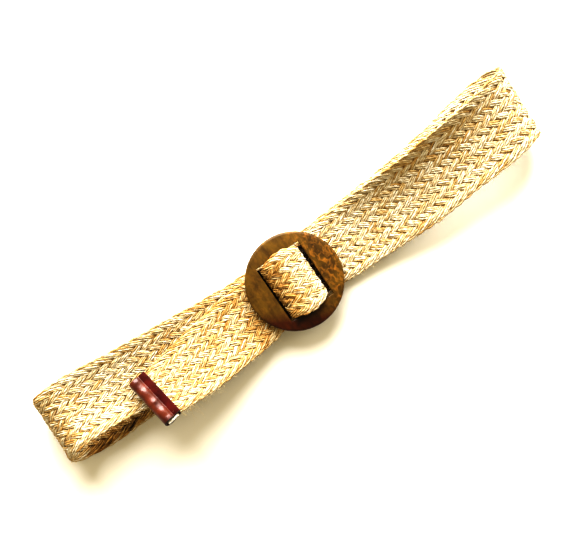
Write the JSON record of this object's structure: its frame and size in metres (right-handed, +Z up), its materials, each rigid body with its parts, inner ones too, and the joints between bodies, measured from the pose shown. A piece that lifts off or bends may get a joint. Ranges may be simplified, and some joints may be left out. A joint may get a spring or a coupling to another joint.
{
  "type": "braided waist belt",
  "caption": "Flat braided jute waist belt threaded through a round wooden slide buckle, with a leather-covered tip, fastened and lying flat in two loops.",
  "frame": {"origin": "middle of the bounding box in plan, on the plane of the table", "axes": "+X along the belt from its left fold, near the tip, to its right fold; +Y across it, to the upper left in the picture; +Z up"},
  "size_m": [0.4382, 0.0886, 0.048],
  "materials": {
    "braid": "rough woven straw",
    "wood": "mottled brown, waxed",
    "clip_metal": "plain",
    "leather": "glossy, creased"
  },
  "bodies": {
    "root": {"strap": "braid", "buckle": "wood", "tip_clip": "clip_metal", "tip_leather": "leather"}
  },
  "joints": []
}
